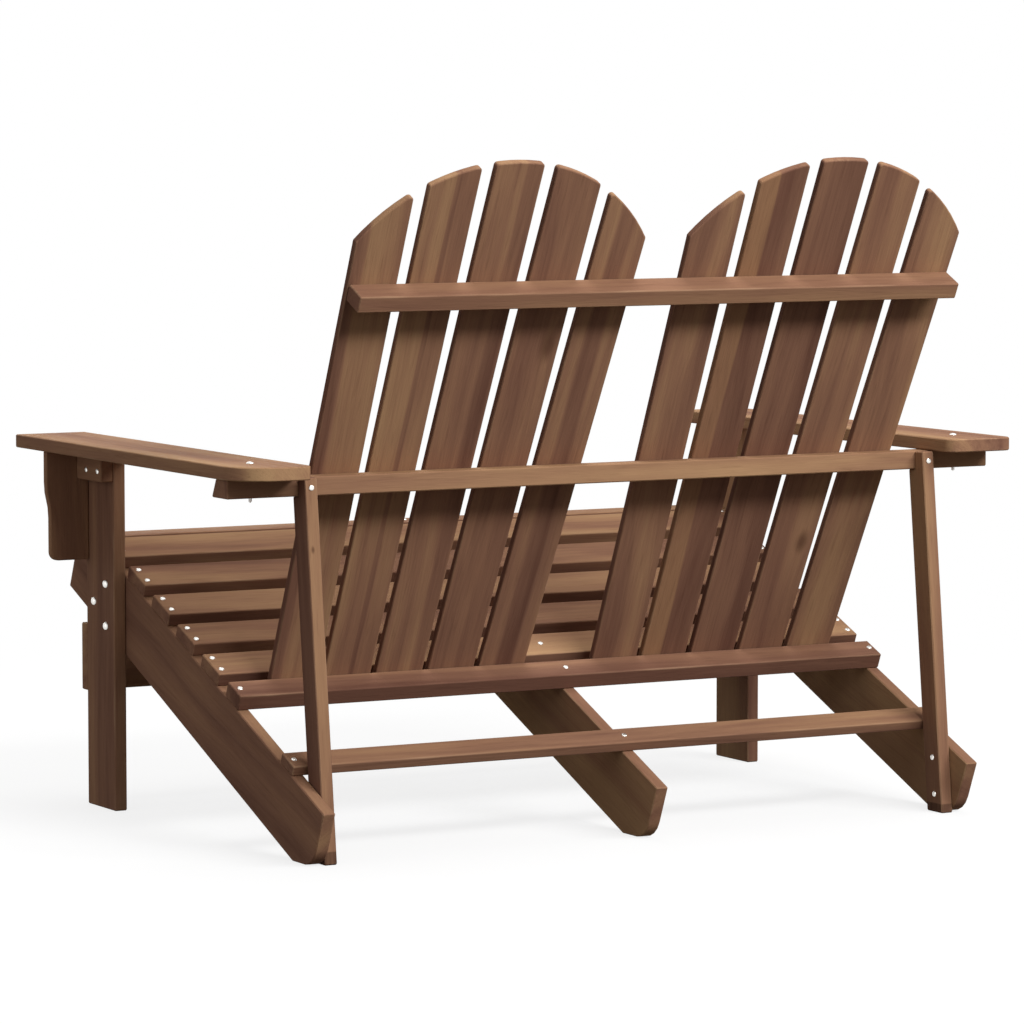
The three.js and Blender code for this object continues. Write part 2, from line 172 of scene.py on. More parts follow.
# The wood's surface
WOOD_ROUGHNESS = 0.68
FLECK_ROUGHNESS = 0.16
WORN_SMOOTHING = 0.12
WOOD_GLOSS = 0.03
GRAIN_RELIEF = 0.35
PORE_RELIEF = 1.8
WOOD_BUMP = 0.35
WOOD_BUMP_HEIGHT = 0.0006

# How straight a face looks along or across the grain before it counts as an end or an edge
FACING_LOW = 0.6
FACING_HIGH = 0.9

# Seeds of the boards, in the order of their names
FIRST_SEED = 1.0
SEED_STEP = 0.37

# How far up from the ground the rear posts get darker, and how soft that line is
FOOT_BAND_HEIGHTS = {"rear_post_left": 0.017, "rear_post_right": 0.012}
FOOT_BAND_BLUR = 0.002

# Edges of the boards
EDGE_ROUNDING = 0.0005
EDGE_SEGMENTS = 2
EDGE_ANGLE = math.radians(30)
FLAT_ANGLE = math.radians(0.5)
WELD_GAP = 0.00001

# Fasteners: the steps round a head and up its dome, how far out in it its rim begins, the creases
# that shade sharp, and the threads of the arm bolts
HEAD_STEPS = 36
DOME_STEPS = 6
RIM_SHARE = 0.98
CREASE_ANGLE = math.radians(50)
THREAD_PITCH = 0.00125
THREAD_DEPTH = 0.0004
ARM_BOLT_THREADS = 14

# The cross recess of a screw: its reach as a share of the head's, how far out in that reach its
# tips and its corners lie, and its depth as a share of the head's height
RECESS_SHARE = 0.5
RECESS_TIP_SHARE = 0.95
RECESS_CORNER_SHARE = 0.3
RECESS_DEPTH_SHARE = 0.5

# The screws that the CAD leaves out: what shows of a shank in the wood, the space between the two
# of a seat slat, how far the first slat's lie ahead, and how far up the back slats' lowest are
SCREW_STUB = 0.002
SLAT_SCREW_SPREAD = 0.032
FIRST_SLAT_SCREW_SHIFT = 0.004
SLAT_SCREW_RISE = 0.0115

# Steel, with its clouds and scratches per metre
STEEL_LIGHT = "#F4F2EE"
STEEL_CLOUDY = "#DEDBD4"
STEEL_CLOUDS = (900, 900, 900)
STEEL_SCRATCHES = (240, 2600, 2600)
STEEL_SMOOTHEST = 0.28
STEEL_ROUGHEST = 0.42
STEEL_BUMP = 0.1
STEEL_BUMP_HEIGHT = 0.0002

# What the nodes' names count: both sides, and the slats of the sloping seat and of each fan
SIDES = ("left", "right")
SLAT_COUNT = 5


def linear(code):
    """The linear RGBA of a colour written as a web code."""
    rgba = [1.0] * 4
    for channel in range(3):
        share = int(code[2 * channel + 1:2 * channel + 3], 16) / 255
        rgba[channel] = share / 12.92 if share <= 0.04045 else ((share + 0.055) / 1.055) ** 2.4
    return tuple(rgba)


def link(item):
    bpy.context.scene.collection.objects.link(item)


def look_along(item, direction):
    item.rotation_mode = "QUATERNION"
    item.rotation_quaternion = direction.to_track_quat("-Z", "Y")


# Camera and lamps
def add_camera():
    behind = Vector((
        math.sin(CAMERA_AZIMUTH) * math.cos(CAMERA_ELEVATION),
        -math.cos(CAMERA_AZIMUTH) * math.cos(CAMERA_ELEVATION),
        math.sin(CAMERA_ELEVATION),
    ))
    camera = bpy.data.objects.new("camera", bpy.data.cameras.new("camera"))
    camera.data.lens = LENS_MM
    camera.data.sensor_width = SENSOR_MM
    camera.data.clip_end = 2 * FLOOR_HALF
    camera.location = (CAMERA_X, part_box("front_leg_left")[0].y + CAMERA_BEHIND_LEG, CAMERA_Z)
    look_along(camera, -behind)
    link(camera)
    bpy.context.scene.camera = camera


def add_lamp(name, place, size, watts):
    light = bpy.data.lights.new(name, "AREA")
    light.shape = "RECTANGLE"
    light.size, light.size_y = size
    light.energy = watts
    lamp = bpy.data.objects.new(name, light)
    lamp.location = place
    look_along(lamp, LIGHT_AIM - place)
    link(lamp)


add_camera()
for name, lamp in LAMPS.items():
    add_lamp(name, **lamp)


# Materials
class Graph:
    """Short words for building a node tree."""

    def __init__(self, tree):
        self.tree = tree

    def node(self, kind, **settings):
        made = self.tree.nodes.new(kind)
        for name, value in settings.items():
            setattr(made, name, value)
        return made

    def feed(self, socket, value):
        if isinstance(value, bpy.types.NodeSocket):
            self.tree.links.new(value, socket)
        else:
            socket.default_value = value

    def math(self, operation, *values, clamp=False):
        made = self.node("ShaderNodeMath", operation=operation, use_clamp=clamp)
        for socket, value in zip(made.inputs, values):
            self.feed(socket, value)
        return made.outputs[0]

    def add(self, first, *others):
        for other in others:
            first = self.math("ADD", first, other)
        return first

    def times(self, a, b):
        return self.math("MULTIPLY", a, b)

    def swing(self, value, reach):
        """Turns a noise of 0 to 1 into one that swings round zero."""
        return self.times(self.math("SUBTRACT", value, 0.5), reach)

    def vector(self, operation, *values):
        made = self.node("ShaderNodeVectorMath", operation=operation)
        for socket, value in zip(made.inputs, values):
            self.feed(socket, value)
        return made.outputs["Value" if operation in ("DOT_PRODUCT", "LENGTH") else "Vector"]

    def split(self, vector):
        made = self.node("ShaderNodeSeparateXYZ")
        self.feed(made.inputs[0], vector)
        return made.outputs

    def join(self, x, y, z):
        made = self.node("ShaderNodeCombineXYZ")
        for socket, value in zip(made.inputs, (x, y, z)):
            self.feed(socket, value)
        return made.outputs[0]

    def noise(self, at, detail=2.0, roughness=0.5):
        made = self.node("ShaderNodeTexNoise", noise_dimensions="3D")
        self.feed(made.inputs["Vector"], at)
        self.feed(made.inputs["Scale"], 1.0)
        self.feed(made.inputs["Detail"], detail)
        self.feed(made.inputs["Roughness"], roughness)
        return made.outputs["Fac"]

    def noise_line(self, at, detail=2.0):
        made = self.node("ShaderNodeTexNoise", noise_dimensions="1D")
        self.feed(made.inputs["W"], at)
        self.feed(made.inputs["Scale"], 1.0)
        self.feed(made.inputs["Detail"], detail)
        return made.outputs["Fac"]

    def stretch(self, value, low, high, to_low=0.0, to_high=1.0, smooth=False):
        blend = "SMOOTHSTEP" if smooth else "LINEAR"
        made = self.node("ShaderNodeMapRange", interpolation_type=blend)
        for socket, number in zip(made.inputs, (value, low, high, to_low, to_high)):
            self.feed(socket, number)
        return made.outputs[0]

    def mix(self, share, a, b, blend="MIX"):
        made = self.node("ShaderNodeMix", data_type="RGBA", blend_type=blend)
        for name, kind, value in (("Factor", "VALUE", share), ("A", "RGBA", a), ("B", "RGBA", b)):
            self.feed(next(s for s in made.inputs if s.name == name and s.type == kind), value)
        return next(s for s in made.outputs if s.type == "RGBA")

    def ramp(self, share, stops):
        made = self.node("ShaderNodeValToRGB")
        points = made.color_ramp.elements
        while len(points) < len(stops):
            points.new(1.0)
        for point, (place, colour) in zip(points, stops):
            point.position = place
            point.color = colour
        self.feed(made.inputs["Fac"], share)
        return made.outputs["Color"]

    def seen_straight(self):
        """1 for camera, glossy and transmission rays, which see the white background."""
        path = self.node("ShaderNodeLightPath").outputs
        mirrored = self.math("MAXIMUM", path["Is Glossy Ray"], path["Is Transmission Ray"])
        return self.math("MAXIMUM", path["Is Camera Ray"], mirrored)


def new_material(name):
    material = bpy.data.materials.new(name)
    material.use_nodes = True
    graph = Graph(material.node_tree)
    graph.tree.nodes.clear()
    return material, graph


def finish_surface(graph, shader, kind="ShaderNodeOutputMaterial"):
    graph.feed(graph.node(kind).inputs["Surface"], shader.outputs[0])


def add_sockets(tree, inputs, outputs):
    """Gives a node group its sockets and returns those of its input and output nodes."""
    for name, kind, value in inputs:
        socket = tree.interface.new_socket(name, in_out="INPUT", socket_type=kind)
        socket.default_value = value
    for name, kind in outputs:
        tree.interface.new_socket(name, in_out="OUTPUT", socket_type=kind)
    return tree.nodes.new("NodeGroupInput").outputs, tree.nodes.new("NodeGroupOutput").inputs


# The wood group's inputs with their defaults, and its outputs
WOOD_INPUTS = (
    ("Place", "NodeSocketVector", (0, 0, 0)),
    ("Half Size", "NodeSocketVector", (1, 1, 1)),
    ("Seed", "NodeSocketFloat", 0.0),
    ("Tone", "NodeSocketFloat", 0.5),
    ("Fade", "NodeSocketFloat", 0.0),
    ("Bands", "NodeSocketFloat", 0.5),
    ("Rosy", "NodeSocketFloat", 0.3),
    ("Stripe", "NodeSocketVector", (9, 1, 0)),
    ("Sap Line", "NodeSocketFloat", 1.0),
    # Edge Shading paints light and shade on the faces along a board's edges
    ("Edge Tone", "NodeSocketFloat", 0.0),
    ("Edge Grain", "NodeSocketFloat", 0.0),
    # End Tone And Shading darkens the end grain a little and also paints light and shade on the
    # ends
    ("End Tone", "NodeSocketFloat", 0.1),
    ("End Grain", "NodeSocketFloat", 0.0),
    ("Foot Band", "NodeSocketFloat", 0.0),
    ("Knot", "NodeSocketVector", (9, 0, 0)),
    ("Knot Size", "NodeSocketFloat", 0.01),
)
WOOD_OUTPUTS = (
    ("Color", "NodeSocketColor"),
    ("Roughness", "NodeSocketFloat"),
    ("Height", "NodeSocketFloat"),
)


class OiledWood(Graph):
    """The node group for oiled hardwood, in a board's own frame: X along the grain, Y across
    the board and Z through it. Growth rings round a pith below the board make the bands."""

    def __init__(self):
        super().__init__(bpy.data.node_groups.new("oiled_wood", "ShaderNodeTree"))
        self.inside, outside = add_sockets(self.tree, WOOD_INPUTS, WOOD_OUTPUTS)
        self.along, self.across, self.through = self.split(self.inside["Place"])
        self.shift = self.times(self.inside["Seed"], SEED_SHIFT)
        self.wander = self.swing(self.board_noise("wander"), RING_WANDER)
        self.streak = self.grain("streak")
        self.fibre = self.grain("fibre", FIBRE_LOW, FIBRE_HIGH)
        self.fleck = self.grain("fleck")
        self.knot_distance = self.distance_to_knot()
        self.radius = self.distance_to_pith()
        self.middle = self.rings("middle")
        self.narrow = self.rings("narrow")
        pores = self.stretch(self.fleck, PORE_START, PORE_END, smooth=True)
        self.pores = self.times(pores, PORE_SHARE)
        self.worn_and_highlit = self.wear_and_highlight()

        colour = self.with_foot_band_and_worn_highlight(self.with_grain(self.with_sapwood(self.band_colour())))
        rough = self.add(self.times(self.fleck, FLECK_ROUGHNESS), WOOD_ROUGHNESS)
        rough = self.math("SUBTRACT", rough, self.times(self.worn_and_highlit, WORN_SMOOTHING))
        self.feed(outside["Color"], colour)
        self.feed(outside["Roughness"], rough)
        self.feed(outside["Height"], self.relief())

    def board_noise(self, name):
        """One of the wood's noises, drawn out along the board."""
        per_metre_along, per_metre_across, offset, detail, roughness = WOOD_NOISES[name]
        return self.noise(self.join(
            self.add(self.times(self.along, per_metre_along), self.shift, offset),
            self.times(self.across, per_metre_across),
            self.times(self.through, per_metre_across),
        ), detail, roughness)

    def grain(self, name, low=NOISE_LOW, high=NOISE_HIGH):
        return self.stretch(self.board_noise(name), low, high)

    def distance_to_knot(self):
        """Distance to the knot in its own sizes, longer along the grain."""
        from_knot = self.vector("SUBTRACT", self.inside["Place"], self.inside["Knot"])
        along, across, through = self.split(from_knot)
        reach = self.vector("LENGTH", self.join(self.times(along, KNOT_NARROWING), across, through))
        return self.math("DIVIDE", reach, self.inside["Knot Size"])

    def distance_to_pith(self):
        """Distance to the pith, which lies elsewhere below each board. The rings wander along
        the board, and a knot pushes them aside."""
        seed = self.inside["Seed"]
        side = self.times(self.math("SINE", self.times(seed, PITH_SIDE_TURNS)), PITH_SIDE_SWAY)
        sway = self.times(self.math("SINE", self.times(seed, PITH_DEPTH_TURNS)), PITH_DEPTH_SWAY)
        from_side = self.math("SUBTRACT", self.across, side)
        from_below = self.add(self.through, self.add(sway, PITH_DEPTH))
        radius = self.vector("LENGTH", self.join(from_side, from_below, 0.0))
        waver = self.swing(self.board_noise("waver"), RING_WAVER)
        falloff = self.add(1.0, self.math("POWER", self.knot_distance, 2.0))
        knot_pull = self.math("DIVIDE", 1.0, falloff)
        knot_push = self.times(knot_pull, self.times(self.inside["Knot Size"], KNOT_PUSH))
        return self.add(radius, self.wander, waver, knot_push)

    def rings(self, name):
        """One kind of growth ring, as a noise of the distance to the pith."""
        per_metre, offset, detail = WOOD_RINGS[name]
        at = self.add(self.times(self.radius, per_metre), self.shift, offset)
        return self.stretch(self.noise_line(at, detail), NOISE_LOW, NOISE_HIGH)

    def stripe(self):
        """One stripe of another tone. Its input holds where it lies across the board, half its
        width and its strength."""
        at, half_width, strength = self.split(self.inside["Stripe"])
        across = self.add(self.across, self.times(self.wander, STRIPE_WANDER))
        from_middle = self.math("ABSOLUTE", self.math("SUBTRACT", across, at))
        share = self.math("DIVIDE", from_middle, half_width)
        return self.times(self.stretch(share, STRIPE_RIM, STRIPE_CORE, smooth=True), strength)

    def level(self):
        """Where the colour lies between the lightest band at 0 and the darkest at 1."""
        inside = self.inside
        share_along = self.math("DIVIDE", self.along, self.split(inside["Half Size"])[0])
        bands = self.add(
            self.swing(self.rings("wide"), BAND_REACHES["wide"]),
            self.swing(self.grain("patch"), BAND_REACHES["patch"]),
            self.swing(self.streak, BAND_REACHES["streak"]),
            self.times(self.swing(self.middle, BAND_REACHES["middle"]), self.streak),
        )
        level = self.add(
            inside["Tone"],
            self.times(bands, inside["Bands"]),
            self.swing(self.narrow, BAND_REACHES["narrow"]),
            # Painted light and shade on the edge faces, then the ends' tone with painted light and
            # shade
            self.times(inside["Edge Tone"], inside["Edge Grain"]),
            self.times(inside["End Tone"], inside["End Grain"]),
            self.times(share_along, inside["Fade"]),
            self.stripe(),
        )
        return self.math("ADD", level, 0.0, clamp=True)

    def band_colour(self):
        """The colour of the bands, in part with a rosy cast."""
        colour = self.ramp(self.level(), list(zip(BAND_STOPS, map(linear, WOOD_BANDS))))
        rosy = self.times(self.inside["Rosy"], self.grain("rosy"))
        return self.mix(rosy, colour, linear(ROSY_COLOUR))

    def with_sapwood(self, colour):
        """Adds the sapwood on one side of the board, behind an uneven line."""
        across = self.add(self.across, self.times(self.wander, SAP_WANDER))
        past_line = self.math("SUBTRACT", across, self.inside["Sap Line"])
        sap = self.stretch(past_line, -SAP_BLUR, SAP_BLUR, smooth=True)
        tint = self.mix(self.times(self.middle, SAP_BANDS), linear(SAP_COLOUR), colour)
        return self.mix(self.times(sap, SAP_SHARE), colour, tint)

    def with_grain(self, colour):
        """Adds late wood lines, pores, fibres and the knot."""
        late_wood = self.stretch(self.narrow, LINE_START, 1.0, smooth=True)
        lines = self.times(late_wood, self.times(self.streak, LINE_SHARE))
        colour = self.mix(lines, colour, linear(LINE_COLOUR))
        colour = self.mix(self.pores, colour, linear(LINE_COLOUR))
        shade = self.add(self.times(self.fibre, FIBRE_SHADE), FIBRE_DARKEST)
        colour = self.mix(1.0, colour, self.join(shade, shade, shade), "MULTIPLY")
        knot = self.stretch(self.knot_distance, KNOT_RIM, KNOT_HEART, smooth=True)
        return self.mix(self.times(knot, KNOT_DARKNESS), colour, linear(LINE_COLOUR))

    def wear_and_highlight(self):
        """How worn a place is, which also sets where a highlight is painted along the edges. The
        second smallest of its distances to the faces is that to the nearest edge."""
        folded = self.vector("ABSOLUTE", self.inside["Place"])
        gaps = self.split(self.vector("SUBTRACT", self.inside["Half Size"], folded))
        low = self.math("MINIMUM", gaps[1], gaps[2])
        high = self.math("MAXIMUM", gaps[1], gaps[2])
        to_edge = self.math("MAXIMUM", low, self.math("MINIMUM", high, gaps[0]))
        ragged = self.add(to_edge, self.times(self.fleck, WEAR_RAGGED))
        rubbed = self.stretch(ragged, WEAR_REACH, WEAR_CORE, smooth=True)
        return self.times(rubbed, self.grain("wear_and_highlight", WEAR_PATCH_LOW, WEAR_PATCH_HIGH))

    def with_foot_band_and_worn_highlight(self, colour):
        """Adds the darker band at the rear posts' feet and the paleness of worn edges, which also
        paints a highlight along them.
        """
        # The rear posts darker at their feet
        foot_band_share = self.add(self.times(self.fleck, FOOT_BAND_FLECKS), FOOT_BAND_SHARE)
        foot_band = self.times(self.inside["Foot Band"], foot_band_share)
        colour = self.mix(foot_band, colour, linear(FOOT_BAND_COLOUR))
        # Worn edges paler, which also paints a highlight along them
        return self.mix(self.times(self.worn_and_highlit, WEAR_AND_HIGHLIGHT_SHARE), colour, linear(WORN_AND_HIGHLIGHT_COLOUR))

    def relief(self):
        """How high the surface stands: fibres up, late wood lines and pores down."""
        lines = self.times(self.narrow, GRAIN_RELIEF)
        relief = self.math("SUBTRACT", self.times(self.fibre, GRAIN_RELIEF), lines)
        return self.math("SUBTRACT", relief, self.times(self.pores, PORE_RELIEF))


wood = OiledWood().tree


class BoardFrame:
    """A board's own axes as the rows of a matrix, its middle and its half size. The grain
    follows the longest straight edge, and Z is the normal of the largest face."""

    def __init__(self, board):
        mesh = bmesh.new()
        mesh.from_mesh(board.data)
        bmesh.ops.remove_doubles(mesh, verts=mesh.verts, dist=WELD_GAP)
        bmesh.ops.dissolve_limit(mesh, angle_limit=FLAT_ANGLE, verts=mesh.verts, edges=mesh.edges)
        through = max(mesh.faces, key=lambda face: face.calc_area()).normal.copy()
        if sum(through) < 0:
            through.negate()
        longest = max(mesh.edges, key=lambda edge: edge.calc_length())
        along = longest.verts[1].co - longest.verts[0].co
        along = (along - through * along.dot(through)).normalized()
        if sum(along) < 0:
            along.negate()
        self.axes = Matrix((along, through.cross(along), through))
        placed = [self.axes @ vert.co for vert in mesh.verts]
        mesh.free()
        low = Vector(min(p[i] for p in placed) for i in range(3))
        high = Vector(max(p[i] for p in placed) for i in range(3))
        self.middle = (low + high) / 2
        self.half = (high - low) / 2

    def inside(self, place):
        """A place in the world, as the board's own frame has it."""
        return self.axes @ place - self.middle

    def world(self, place):
        """A place in the board's own frame, as the world has it."""
        return self.axes.transposed() @ (self.middle + Vector(place))


def board_material(name, look, seed):
    """Oiled wood laid in the frame of one board."""
    own = frames[name]
    material, g = new_material(f"wood_{name}")
    where = g.node("ShaderNodeTexCoord").outputs["Object"]
    lay = g.node("ShaderNodeMapping", vector_type="POINT")
    g.feed(lay.inputs["Vector"], where)
    lay.inputs["Rotation"].default_value = own.axes.to_euler("XYZ")
    lay.inputs["Location"].default_value = -own.middle

    group = g.node("ShaderNodeGroup", node_tree=wood)
    g.feed(group.inputs["Place"], lay.outputs[0])
    group.inputs["Half Size"].default_value = own.half
    group.inputs["Seed"].default_value = seed
    for label, value in look.items():
        group.inputs[label].default_value = value

    normal = g.node("ShaderNodeNewGeometry").outputs["Normal"]
    # Masks of the ends and the edge faces, on which the looks paint light and shade
    for label, axis in (("End Grain", own.axes[0]), ("Edge Grain", own.axes[1])):
        facing = g.math("ABSOLUTE", g.vector("DOT_PRODUCT", normal, tuple(axis)))
        g.feed(group.inputs[label], g.stretch(facing, FACING_LOW, FACING_HIGH, smooth=True))
    if name in FOOT_BAND_HEIGHTS:
        height = g.split(where)[2]
        line = FOOT_BAND_HEIGHTS[name]
        g.feed(group.inputs["Foot Band"], g.stretch(height, line + FOOT_BAND_BLUR, line, smooth=True))

    bump = g.node("ShaderNodeBump")
    bump.inputs["Strength"].default_value = WOOD_BUMP
    bump.inputs["Distance"].default_value = WOOD_BUMP_HEIGHT
    g.feed(bump.inputs["Height"], group.outputs["Height"])
    shader = g.node("ShaderNodeBsdfPrincipled")
    shader.inputs["Specular IOR Level"].default_value = WOOD_GLOSS
    g.feed(shader.inputs["Base Color"], group.outputs["Color"])
    g.feed(shader.inputs["Roughness"], group.outputs["Roughness"])
    g.feed(shader.inputs["Normal"], bump.outputs["Normal"])
    finish_surface(g, shader)
    return material


def look(tone, bands=0.5, **more):
    """How a board looks: its tone from golden at 0 to dark at 1, how strong its bands are, and
    the other inputs of the wood group by their names."""
    labels = {key.replace("_", " ").title(): value for key, value in more.items()}
    return {"Tone": tone, "Bands": bands, **labels}


# Painted shade darkens the back slats' side faces, which lie in the shade between the slats, and
# painted light lightens their crowns, cut across the grain, which face up
slat_painted_shading = {"edge_tone": 0.35, "end_tone": -0.2}

# Each board as the photo shows it, or like its neighbours where the photo hides it. Their edge
# shading and end values also paint light and shade on those faces.
looks = {
    "stringer_left": look(0.66, 0.35, rosy=0.0, edge_tone=-0.2, end_tone=-0.2),
    "stringer_centre": look(0.15, 0.35, rosy=0.3, edge_tone=0.3, end_tone=0.35),
    "stringer_right": look(0.03, 0.35, rosy=0.4, edge_tone=0.5, end_tone=0.5),
    "seat_slat_front": look(0.4, edge_tone=0.3),
    "seat_slat_1": look(0.33, edge_tone=0.35, end_tone=0.5),
    "seat_slat_2": look(0.57, edge_tone=0.25, end_tone=0.3),
    "seat_slat_3": look(0.3, 0.4, rosy=0.1, edge_tone=0.4, end_tone=0.25),
    "seat_slat_4": look(0.65, edge_tone=0.15, end_tone=0.25),
    "seat_slat_5": look(0.33, rosy=0.1, edge_tone=0.6, end_tone=0.2),
    "rear_seat_rail": look(0.58, 0.4, rosy=0.4, edge_tone=0.22, end_tone=0.15),
    "rear_stretcher": look(0.34, 0.4, rosy=0.0, edge_tone=0.14, end_tone=0.25),
    "front_apron": look(0.3, rosy=0.0),
    "front_leg_left": look(0.68, 0.35, rosy=0.0, edge_tone=-0.15),
    "front_leg_right": look(0.35, 0.4, rosy=0.2, edge_tone=0.6),
    "rear_post_left": look(0.95, 0.35, rosy=0.2, edge_tone=-0.48, knot=(0.1625, -0.019, 0.0024),
                           knot_size=0.0025),
    "rear_post_right": look(0.42, 0.35, rosy=0.0),
    "armrest_left": look(0.3, 0.4, rosy=0.0, edge_tone=0.25, end_tone=-0.25),
    "armrest_right": look(0.4, edge_tone=-0.1, end_tone=0.15),
    "arm_bracket_left": look(0.4, 0.35, rosy=0.0),
    "arm_bracket_right": look(0.4, 0.35, rosy=0.0),
    "arm_cleat_left": look(0.35, 0.4, rosy=0.0, edge_tone=-0.2),
    "arm_cleat_right": look(0.5, 0.4, rosy=0.0),
    "arm_rail": look(0.4, 0.35, rosy=0.0, end_tone=0.3),
    "upper_back_rail": look(0.39, 0.3, rosy=0.4, end_tone=0.2),
    "back_slat_left_1": look(0.46, 0.4, fade=-0.15, stripe=(0.0, 0.014, 0.45), **slat_painted_shading),
    "back_slat_left_2": look(0.58, 0.4, fade=-0.05, knot=(0.135, -0.019, 0.0055), knot_size=0.012,
                             **slat_painted_shading),
    "back_slat_left_3": look(0.46, 0.4, stripe=(-0.024, 0.012, 0.25), **slat_painted_shading),
    "back_slat_left_4": look(0.35, 0.4, stripe=(-0.005, 0.004, 0.3), **slat_painted_shading),
    "back_slat_left_5": look(0.36, 0.4, stripe=(0.03, 0.01, 0.35), **slat_painted_shading),
    "back_slat_right_1": look(0.4, 0.4, rosy=0.0, **slat_painted_shading),
    "back_slat_right_2": look(0.44, 0.4, rosy=0.4, knot=(-0.205, -0.017, 0.0055), knot_size=0.009,
                              **slat_painted_shading),
    "back_slat_right_3": look(0.75, 0.35, rosy=0.15, **slat_painted_shading),
    "back_slat_right_4": look(0.74, 0.35, sap_line=0.008, rosy=0.4, **slat_painted_shading),
    "back_slat_right_5": look(0.54, 0.4, rosy=0.1, **slat_painted_shading),
}
frames = {name: BoardFrame(nodes[name]) for name in looks}


def dress_board(name, material):
    """Rounds a board's edges and gives it its wood. Its mesh stays as the CAD made it."""
    board = nodes[name]
    board.data.materials.clear()
    board.data.materials.append(material)
    board.data.shade_smooth()
    weld = board.modifiers.new("weld", "WELD")
    weld.merge_threshold = WELD_GAP
    flats = board.modifiers.new("flats", "DECIMATE")
    flats.decimate_type = "DISSOLVE"
    flats.angle_limit = FLAT_ANGLE
    rounding = board.modifiers.new("rounding", "BEVEL")
    rounding.width = EDGE_ROUNDING
    rounding.segments = EDGE_SEGMENTS
    rounding.limit_method = "ANGLE"
    rounding.angle_limit = EDGE_ANGLE
    shading = board.modifiers.new("shading", "WEIGHTED_NORMAL")
    shading.keep_sharp = False


for index, name in enumerate(sorted(looks)):
    dress_board(name, board_material(name, looks[name], FIRST_SEED + SEED_STEP * index))


def make_steel():
    """Zinc plated steel, a little cloudy."""
    material, g = new_material("plated_steel")
    where = g.node("ShaderNodeTexCoord").outputs["Object"]
    cloud = g.noise(g.vector("MULTIPLY", where, STEEL_CLOUDS), detail=3.0)
    scratch = g.noise(g.vector("MULTIPLY", where, STEEL_SCRATCHES))
    bump = g.node("ShaderNodeBump")
    bump.inputs["Strength"].default_value = STEEL_BUMP
    bump.inputs["Distance"].default_value = STEEL_BUMP_HEIGHT
    g.feed(bump.inputs["Height"], scratch)
    shader = g.node("ShaderNodeBsdfPrincipled")
    shader.inputs["Metallic"].default_value = 1.0
    g.feed(shader.inputs["Base Color"], g.mix(cloud, linear(STEEL_LIGHT), linear(STEEL_CLOUDY)))
    rough = g.stretch(cloud, NOISE_LOW, NOISE_HIGH, STEEL_SMOOTHEST, STEEL_ROUGHEST)
    g.feed(shader.inputs["Roughness"], rough)
    g.feed(shader.inputs["Normal"], bump.outputs["Normal"])
    finish_surface(g, shader)
    return material


steel = make_steel()


# Bolts and screws
class Fastener:
    """A bolt or screw, measured from a fastener of the CAD, or one with the same head and another
    length of shank. Its levels are counted from the underside of the head."""

    def __init__(self, name, outward, shank=None):
        corners = [vert.co for vert in nodes[name].data.vertices]
        levels = [corner.dot(outward) for corner in corners]
        top = corners[levels.index(max(levels))]
        tip = corners[levels.index(min(levels))]
        axis = (top + tip) / 2
        axis -= outward * axis.dot(outward)
        reaches = [(c - outward * level - axis).length for c, level in zip(corners, levels)]
        self.radius = max(reaches)
        at_rim = (level for level, reach in zip(levels, reaches) if reach > RIM_SHARE * self.radius)
        rim = max(at_rim)
        self.head = max(levels) - rim
        self.shank = rim - min(levels) if shank is None else shank
        self.seat = axis + outward * rim
        self.outward = outward

    def profile(self, cross, threads):
        """Rings from the tip to the top of the head, or to the rim of the cross recess in it,
        each with its reach and its level."""
        shank_radius = self.radius / 2
        rings = [(0.0, -self.shank), (shank_radius, shank_radius - self.shank)]
        for turn in range(threads):
            level = shank_radius - self.shank + turn * THREAD_PITCH
            rings.append((shank_radius, level))
            rings.append((shank_radius - THREAD_DEPTH, level + THREAD_PITCH / 2))
        rings += [(shank_radius, 0.0), (self.radius, 0.0)]
        inner = self.radius * RECESS_SHARE if cross else 0.0
        for step in range(1, DOME_STEPS + 1):
            lean = step / DOME_STEPS * math.pi / 2
            reach = inner + (self.radius - inner) * math.cos(lean)
            rings.append((reach if reach > WELD_GAP else 0.0, self.head * math.sin(lean)))
        return rings

    def add_to(self, mesh, seat, outward, cross=True, threads=0):
        """Adds it to a bmesh with the underside of its head on a place."""
        turn = outward.to_track_quat("Z", "Y").to_matrix().to_4x4()
        spot = Matrix.Translation(seat) @ turn
        rows = [
            ring_of(mesh, spot, level, [reach] * HEAD_STEPS)
            for reach, level in self.profile(cross, threads)
        ]
        if cross:
            recess = self.radius * RECESS_SHARE
            outline = [cross_reach(step) * recess for step in range(HEAD_STEPS)]
            floor = self.head * (1 - RECESS_DEPTH_SHARE)
            rows.append(ring_of(mesh, spot, self.head, outline))
            rows.append(ring_of(mesh, spot, floor, outline))
            rows.append(ring_of(mesh, spot, floor, [0.0] * HEAD_STEPS))
        for lower, upper in zip(rows, rows[1:]):
            for step in range(HEAD_STEPS):
                after = (step + 1) % HEAD_STEPS
                corners = (lower[step], lower[after], upper[after], upper[step])
                mesh.faces.new(tuple(dict.fromkeys(corners))).smooth = True


def cross_reach(step):
    """The reach of a cross recess in one of the head's directions, as a share of its own."""
    quarter = HEAD_STEPS // 4
    from_arm = abs((step + quarter // 2) % quarter - quarter // 2)
    return RECESS_TIP_SHARE if from_arm <= 1 else RECESS_CORNER_SHARE


def ring_of(mesh, spot, level, reaches):
    """One ring of corners, or the same corner all round where the reach is nothing."""
    if not any(reaches):
        return [mesh.verts.new(spot @ Vector((0, 0, level)))] * len(reaches)
    angles = [2 * math.pi * step / len(reaches) for step in range(len(reaches))]
    return [
        mesh.verts.new(spot @ Vector((reach * math.cos(angle), reach * math.sin(angle), level)))
        for angle, reach in zip(angles, reaches)
    ]


